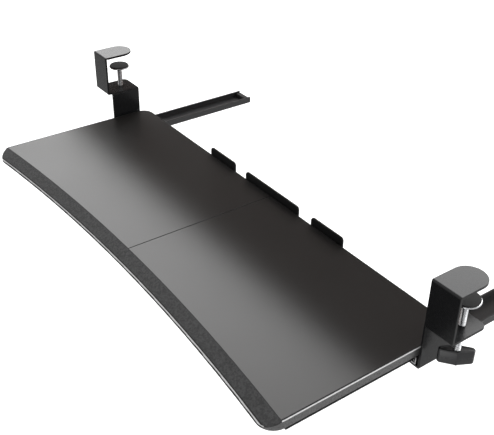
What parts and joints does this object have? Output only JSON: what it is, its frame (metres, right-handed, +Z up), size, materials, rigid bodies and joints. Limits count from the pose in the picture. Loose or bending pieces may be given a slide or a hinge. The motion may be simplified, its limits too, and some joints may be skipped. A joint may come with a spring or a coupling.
{
  "type": "clamp-on sliding keyboard tray",
  "caption": "Shallow black tray on ball slides, hung under an edge by screw clamps at both sides; concave front with a grained wrist strip, upright stops at the back.",
  "frame": {"origin": "on the gripped edge, where the top pads' undersides and the front plates' inner faces meet, midway between the clamps", "axes": "+X to the user's right, +Y away from the user, +Z up; the tray is pulled out towards -Y"},
  "size_m": [0.785, 0.4531, 0.1332],
  "materials": {
    "deck_laminate": "fine-grained black laminate over fibreboard",
    "edge_band": "satin dark grey edge band with rounded arrises",
    "grained_strip": "grained dark grey strip",
    "beech": "plain beech",
    "black_coated_steel": "semi-gloss black powder coat",
    "black_slide_steel": "thin black coating on rolled steel, bright cut ends",
    "black_screws": "blackened steel",
    "zinc_plate": "bright zinc plating",
    "cage_steel": "plain pressed steel",
    "bearing_steel": "polished balls",
    "soft_bumper": "matt black",
    "foam_pad": "closed-cell black foam",
    "black_knob": "moulded black plastic"
  },
  "bodies": {
    "clamps": {"bracket_right": "black_coated_steel", "top_pad_right": "foam_pad", "jaw_nut_right": "zinc_plate", "slide_outer_right": "black_slide_steel", "slide_bumper_right": "soft_bumper", "slide_bolts_right": "zinc_plate", "slide_nuts_right": "zinc_plate", "bracket_left": "black_coated_steel", "top_pad_left": "foam_pad", "jaw_nut_left": "zinc_plate", "slide_outer_left": "black_slide_steel", "slide_bumper_left": "soft_bumper", "slide_bolts_left": "zinc_plate", "slide_nuts_left": "zinc_plate"},
    "tray": {"board_right": "deck_laminate", "board_left": "deck_laminate", "edge_band_right": "edge_band", "edge_band_left": "edge_band", "wrist_strip": "grained_strip", "joint_dowels": "beech", "joining_plate_front": "black_coated_steel", "joining_plate_rear": "black_coated_steel", "joining_plate_screws": "black_screws", "rear_stop_left": "black_coated_steel", "rear_stop_centre": "black_coated_steel", "rear_stop_right": "black_coated_steel", "rear_stop_screws": "black_screws", "slide_inner_right": "black_slide_steel", "slide_inner_left": "black_slide_steel", "slide_inner_screws_right": "black_screws", "slide_inner_screws_left": "black_screws"},
    "right_ball_cage": {"ball_cage_right": "cage_steel", "slide_balls_right": "bearing_steel"},
    "right_pressure_disc": {"pressure_disc_right": "zinc_plate", "disc_facing_right": "foam_pad"},
    "right_screw": {"clamp_screw_right": "zinc_plate", "knob_right": "black_knob"},
    "left_ball_cage": {"ball_cage_left": "cage_steel", "slide_balls_left": "bearing_steel"},
    "left_pressure_disc": {"pressure_disc_left": "zinc_plate", "disc_facing_left": "foam_pad"},
    "left_screw": {"clamp_screw_left": "zinc_plate", "knob_left": "black_knob"}
  },
  "joints": [
    {"name": "tray_slide", "type": "slide", "parent": "clamps", "child": "tray", "axis": [0, 1, 0], "range_m": [0, 0.184]},
    {"name": "right_cage_slide", "type": "slide", "parent": "clamps", "child": "right_ball_cage", "axis": [0, 1, 0], "range_m": [0, 0.092]},
    {"name": "left_cage_slide", "type": "slide", "parent": "clamps", "child": "left_ball_cage", "axis": [0, 1, 0], "range_m": [0, 0.092]},
    {"name": "right_disc_travel", "type": "slide", "parent": "clamps", "child": "right_pressure_disc", "axis": [0, 0, 1], "range_m": [-0.028, 0.011]},
    {"name": "right_screw_turn", "type": "hinge", "parent": "right_pressure_disc", "child": "right_screw", "pos_m": [0.3745, 0.0315, 0], "axis": [0, 0, 1], "range_deg": [-8065, 3169]},
    {"name": "left_disc_travel", "type": "slide", "parent": "clamps", "child": "left_pressure_disc", "axis": [0, 0, 1], "range_m": [-0.028, 0.011]},
    {"name": "left_screw_turn", "type": "hinge", "parent": "left_pressure_disc", "child": "left_screw", "pos_m": [-0.3745, 0.0315, 0], "axis": [0, 0, 1], "range_deg": [-8065, 3169]}
  ],
  "couplings": [
    {"joint": "right_cage_slide", "follows": "tray_slide", "ratio": 0.5},
    {"joint": "left_cage_slide", "follows": "tray_slide", "ratio": 0.5},
    {"joint": "right_screw_turn", "follows": "right_disc_travel", "rad_per_m": 5026.5},
    {"joint": "left_screw_turn", "follows": "left_disc_travel", "rad_per_m": 5026.5}
  ]
}
